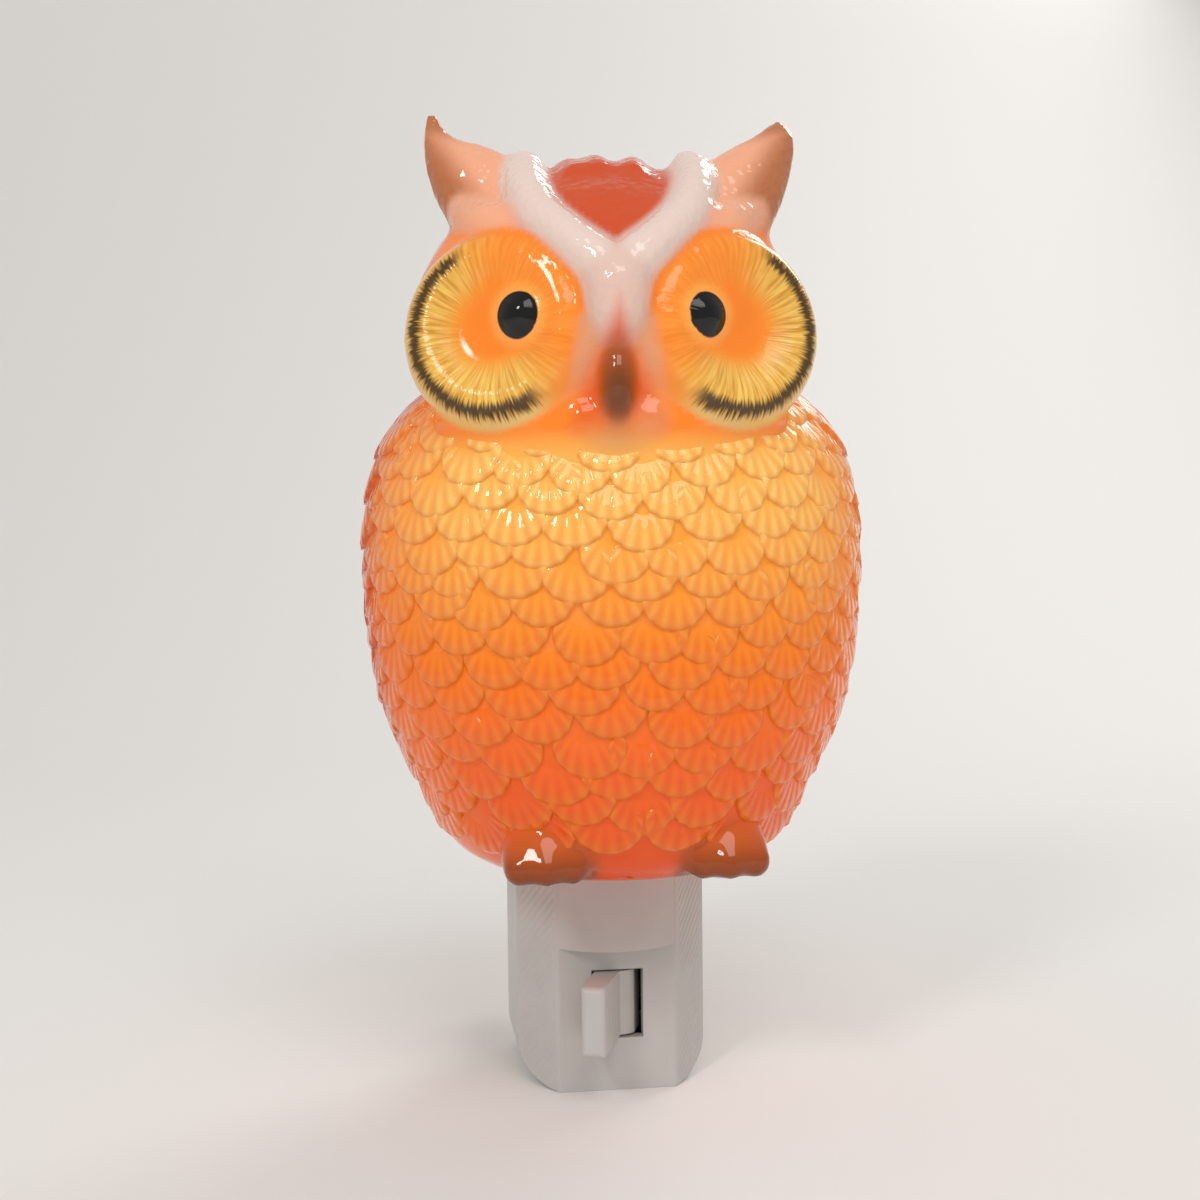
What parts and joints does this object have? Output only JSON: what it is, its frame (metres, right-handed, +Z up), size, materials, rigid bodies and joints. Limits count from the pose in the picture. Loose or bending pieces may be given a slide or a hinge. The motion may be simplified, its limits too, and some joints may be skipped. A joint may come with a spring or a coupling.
{
  "type": "plug-in night light",
  "caption": "Plug-in night light: a hollow porcelain owl over a small screw-in bulb, on a swivel-plug base with a paddle toggle switch.",
  "frame": {"origin": "centre of the plug's rear face, where it meets the outlet's plate", "axes": "+Y into the wall along the plug's blades, +Z up along the owl, +X to the right of someone facing the light"},
  "size_m": [0.0756, 0.0833, 0.1453],
  "materials": {
    "glazed_porcelain": "glossy hand-painted glaze",
    "moulded_ivory": "satin moulded",
    "moulded_white": "satin moulded",
    "spring_steel": "plain rolled",
    "zinc_steel": "zinc plated",
    "plated_brass": "nickel plated",
    "brass_shell": "pressed",
    "brass_contact": "pressed",
    "phenolic_board": "punched laminate",
    "wire_insulation": "extruded",
    "clear_glass": "blown",
    "black_glass": "moulded",
    "solder": "soft solder",
    "lead_wire": "drawn wire"
  },
  "bodies": {
    "plug": {"plug_rotor": "moulded_ivory", "blade_live": "plated_brass", "blade_neutral": "plated_brass", "slip_disc": "brass_contact", "slip_ring": "brass_contact"},
    "base": {"housing_front": "moulded_ivory", "housing_rear": "moulded_ivory", "housing_screws": "zinc_steel", "socket_sleeve": "moulded_white", "socket_insulator": "phenolic_board", "socket_shell": "brass_shell", "centre_contact": "brass_contact", "shade_clip_left": "spring_steel", "shade_clip_right": "spring_steel", "terminal_board": "phenolic_board", "wiper_live": "brass_contact", "wiper_neutral": "brass_contact", "rocker_bracket": "brass_contact", "rocker_pin": "zinc_steel", "contact_post": "brass_contact", "neutral_lead": "wire_insulation", "switched_lead": "wire_insulation"},
    "switch_lever": {"switch_lever": "moulded_ivory", "switch_spring": "spring_steel", "switch_plunger": "moulded_white"},
    "switch_rocker": {"switch_rocker": "brass_contact"},
    "shade": {"porcelain_shade": "glazed_porcelain"},
    "bulb_tip": {"bulb_tip": "solder"},
    "bulb": {"bulb_glass": "clear_glass", "bulb_cap": "brass_shell", "bulb_insulator": "black_glass", "bulb_stem": "clear_glass", "bulb_leads": "lead_wire", "bulb_filament": "lead_wire"}
  },
  "joints": [
    {"name": "plug_swivel", "type": "hinge", "parent": "plug", "child": "base", "pos_m": [0, 0, 0], "axis": [0, 1, 0], "range_deg": [0, 90]},
    {"name": "switch_toggle", "type": "hinge", "parent": "base", "child": "switch_lever", "pos_m": [0, -0.02835, -0.00215], "axis": [0, 0, 1], "range_deg": [0, 40]},
    {"name": "rocker_tilt", "type": "hinge", "parent": "base", "child": "switch_rocker", "pos_m": [0, -0.0184, -0.00215], "axis": [0, 0, 1], "range_deg": [-16, 0]},
    {"name": "shade_lift", "type": "slide", "parent": "base", "child": "shade", "axis": [0, 0, 1], "range_m": [0, 0.07]},
    {"name": "bulb_rise", "type": "slide", "parent": "base", "child": "bulb_tip", "axis": [0, 0, 1], "range_m": [0, 0.0127]},
    {"name": "bulb_turn", "type": "hinge", "parent": "bulb_tip", "child": "bulb", "pos_m": [0, -0.024, 0.03], "axis": [0, 0, 1], "range_deg": [0, 1800]}
  ],
  "couplings": [
    {"joint": "rocker_tilt", "follows": "switch_toggle", "ratio": -0.4},
    {"joint": "bulb_turn", "follows": "bulb_rise", "rad_per_m": 2473.7}
  ]
}
